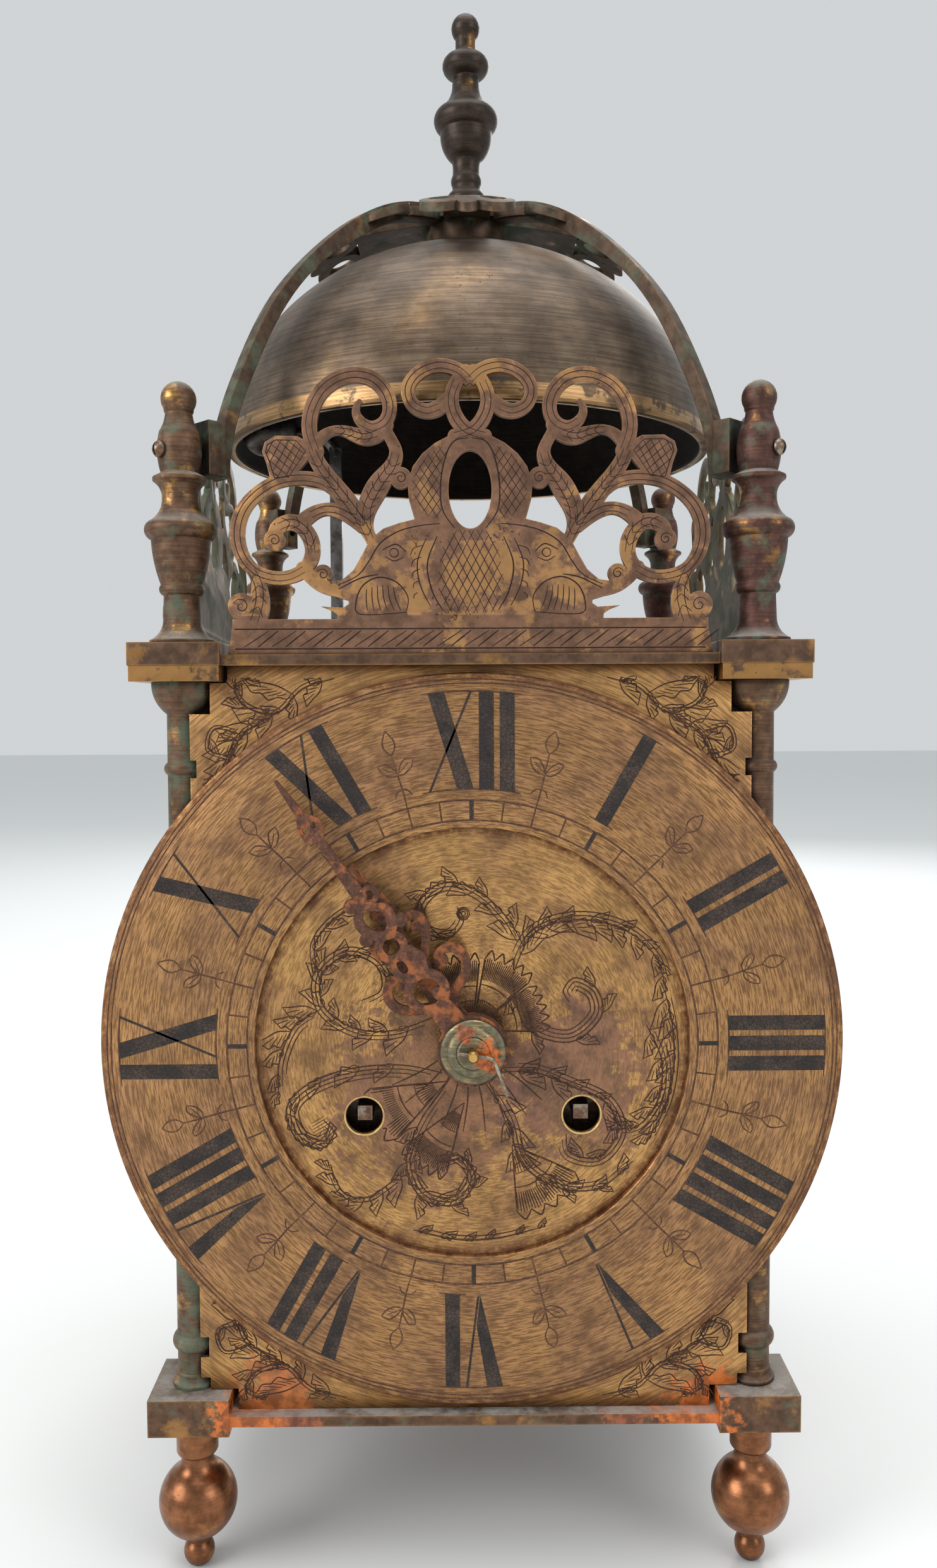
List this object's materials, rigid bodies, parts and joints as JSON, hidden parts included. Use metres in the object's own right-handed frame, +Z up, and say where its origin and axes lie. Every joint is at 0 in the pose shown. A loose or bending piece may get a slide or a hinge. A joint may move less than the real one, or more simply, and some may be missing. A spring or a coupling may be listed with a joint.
{
  "type": "lantern clock",
  "caption": "Brass lantern clock: posted case on ball feet, engraved dial with hour ring and hands, pierced frets, bell under an arched strap, wound going and striking trains",
  "frame": {"origin": "bottom centre of the whole clock, on the plane its feet stand on", "axes": "+Z up, -Y out of the dial toward the viewer, +X to the viewer's right"},
  "size_m": [0.17, 0.1672, 0.395],
  "materials": {
    "patinated_brass": "satin",
    "gilt_brass": "satin",
    "bell_metal": "satin",
    "movement_brass": "satin",
    "rusted_iron": "matte",
    "steel": "satin"
  },
  "bodies": {
    "case": {"base_plate": "patinated_brass", "top_plate": "patinated_brass", "bell": "bell_metal", "bell_strap": "patinated_brass", "strap_screws": "steel", "top_finial": "patinated_brass", "bell_nut": "steel", "fret_front": "patinated_brass", "fret_left": "patinated_brass", "fret_right": "patinated_brass", "fret_screws": "steel", "dial_plate": "gilt_brass", "chapter_ring": "gilt_brass", "dial_feet": "movement_brass", "movement_front_plate": "movement_brass", "movement_back_plate": "movement_brass", "movement_pillars": "movement_brass", "movement_brackets": "movement_brass", "pendulum_cock": "movement_brass", "pillar_front_left": "patinated_brass", "foot_front_left": "patinated_brass", "finial_front_left": "patinated_brass", "pillar_front_right": "patinated_brass", "foot_front_right": "patinated_brass", "finial_front_right": "patinated_brass", "pillar_rear_left": "patinated_brass", "foot_rear_left": "patinated_brass", "finial_rear_left": "patinated_brass", "pillar_rear_right": "patinated_brass", "foot_rear_right": "patinated_brass", "finial_rear_right": "patinated_brass"},
    "minute_hand_body": {"minute_hand": "rusted_iron", "cannon_pinion": "movement_brass"},
    "minute_wheel_body": {"minute_wheel": "movement_brass"},
    "hour_hand_body": {"hour_hand": "rusted_iron", "hour_wheel": "movement_brass"},
    "centre_body": {"centre_wheel": "movement_brass", "hand_collet": "patinated_brass", "hand_pin": "steel"},
    "second_body": {"second_wheel": "movement_brass"},
    "third_body": {"third_wheel": "movement_brass"},
    "escape_body": {"escape_wheel": "movement_brass"},
    "going_barrel_body": {"going_barrel": "movement_brass"},
    "going_winding_body": {"going_winding_arbor": "steel"},
    "strike_barrel_body": {"strike_barrel": "movement_brass"},
    "strike_winding_body": {"strike_winding_arbor": "steel"},
    "pin_wheel_body": {"pin_wheel": "movement_brass"},
    "warning_body": {"warning_wheel": "movement_brass"},
    "fly_body": {"fly": "movement_brass"},
    "going_click_body": {"going_click": "steel"},
    "strike_click_body": {"strike_click": "steel"},
    "pendulum_body": {"pallet_anchor": "steel", "pendulum": "movement_brass"},
    "hammer_body": {"hammer": "steel"},
    "door_left_body": {"door_left": "patinated_brass", "knob_left": "patinated_brass"},
    "door_right_body": {"door_right": "patinated_brass", "knob_right": "patinated_brass"},
    "back_door_body": {"back_door": "patinated_brass", "knob_back": "patinated_brass"}
  },
  "joints": [
    {"name": "minute_hand_turn", "type": "hinge", "parent": "case", "child": "minute_hand_body", "pos_m": [0, -0.075, 0.12705], "axis": [0, 1, 0], "continuous": true},
    {"name": "minute_wheel_turn", "type": "hinge", "parent": "case", "child": "minute_wheel_body", "pos_m": [0, -0.062, 0.11505], "axis": [0, 1, 0], "continuous": true},
    {"name": "hour_hand_turn", "type": "hinge", "parent": "case", "child": "hour_hand_body", "pos_m": [0, -0.072, 0.12705], "axis": [0, 1, 0], "continuous": true},
    {"name": "escape_wheel_turn", "type": "hinge", "parent": "case", "child": "escape_body", "pos_m": [0, -0.04, 0.15651], "axis": [0, 1, 0], "continuous": true},
    {"name": "third_wheel_turn", "type": "hinge", "parent": "case", "child": "third_body", "pos_m": [0.00799, -0.04, 0.14273], "axis": [0, 1, 0], "continuous": true},
    {"name": "centre_wheel_turn", "type": "hinge", "parent": "case", "child": "centre_body", "pos_m": [0, -0.04, 0.12705], "axis": [0, 1, 0], "continuous": true},
    {"name": "second_wheel_turn", "type": "hinge", "parent": "case", "child": "second_body", "pos_m": [0.00037, -0.04, 0.10905], "axis": [0, 1, 0], "continuous": true},
    {"name": "going_barrel_turn", "type": "hinge", "parent": "case", "child": "going_barrel_body", "pos_m": [0.0251, -0.04, 0.11005], "axis": [0, 1, 0], "continuous": true},
    {"name": "fly_turn", "type": "hinge", "parent": "case", "child": "fly_body", "pos_m": [-0.01969, -0.04, 0.16355], "axis": [0, 1, 0], "continuous": true},
    {"name": "warning_wheel_turn", "type": "hinge", "parent": "case", "child": "warning_body", "pos_m": [-0.01899, -0.04, 0.14872], "axis": [0, 1, 0], "continuous": true},
    {"name": "pin_wheel_turn", "type": "hinge", "parent": "case", "child": "pin_wheel_body", "pos_m": [-0.02982, -0.04, 0.13434], "axis": [0, 1, 0], "continuous": true},
    {"name": "strike_barrel_turn", "type": "hinge", "parent": "case", "child": "strike_barrel_body", "pos_m": [-0.0251, -0.04, 0.11005], "axis": [0, 1, 0], "continuous": true},
    {"name": "going_winding", "type": "hinge", "parent": "case", "child": "going_winding_body", "pos_m": [0.0251, -0.065, 0.11005], "axis": [0, 1, 0], "continuous": true},
    {"name": "strike_winding", "type": "hinge", "parent": "case", "child": "strike_winding_body", "pos_m": [-0.0251, -0.065, 0.11005], "axis": [0, 1, 0], "continuous": true},
    {"name": "going_click_lift", "type": "hinge", "parent": "case", "child": "going_click_body", "pos_m": [0.0366, -0.0591, 0.10605], "axis": [0, 1, 0], "range_deg": [0, 15], "stiffness_Nm_per_rad": 0.0005},
    {"name": "strike_click_lift", "type": "hinge", "parent": "case", "child": "strike_click_body", "pos_m": [-0.0366, -0.0591, 0.10605], "axis": [0, -1, 0], "range_deg": [0, 15], "stiffness_Nm_per_rad": 0.0005},
    {"name": "pendulum_swing", "type": "hinge", "parent": "case", "child": "pendulum_body", "pos_m": [0, -0.04, 0.18505], "axis": [0, 1, 0], "range_deg": [-4.5, 4.5]},
    {"name": "hammer_swing", "type": "hinge", "parent": "case", "child": "hammer_body", "pos_m": [-0.036, -0.04, 0.15405], "axis": [0, 1, 0], "range_deg": [-0.5, 8], "stiffness_Nm_per_rad": 0.05},
    {"name": "door_left_swing", "type": "hinge", "parent": "case", "child": "door_left_body", "pos_m": [-0.06825, 0.0534, 0.12705], "axis": [0, 0, -1], "range_deg": [0, 100]},
    {"name": "door_right_swing", "type": "hinge", "parent": "case", "child": "door_right_body", "pos_m": [0.06825, 0.0534, 0.12705], "axis": [0, 0, 1], "range_deg": [0, 100]},
    {"name": "back_door_swing", "type": "hinge", "parent": "case", "child": "back_door_body", "pos_m": [0.0534, 0.06825, 0.12705], "axis": [0, 0, -1], "range_deg": [0, 100]}
  ],
  "couplings": [
    {"joint": "minute_wheel_turn", "follows": "minute_hand_turn", "ratio": -0.33333},
    {"joint": "hour_hand_turn", "follows": "minute_hand_turn", "ratio": 0.083333},
    {"joint": "third_wheel_turn", "follows": "escape_wheel_turn", "ratio": -0.083333},
    {"joint": "centre_wheel_turn", "follows": "escape_wheel_turn", "ratio": 0.0083333},
    {"joint": "second_wheel_turn", "follows": "escape_wheel_turn", "ratio": -0.0020833},
    {"joint": "going_barrel_turn", "follows": "escape_wheel_turn", "ratio": 0.00026042},
    {"joint": "warning_wheel_turn", "follows": "fly_turn", "ratio": -0.1},
    {"joint": "pin_wheel_turn", "follows": "fly_turn", "ratio": 0.0125},
    {"joint": "strike_barrel_turn", "follows": "fly_turn", "ratio": -0.0015625}
  ]
}
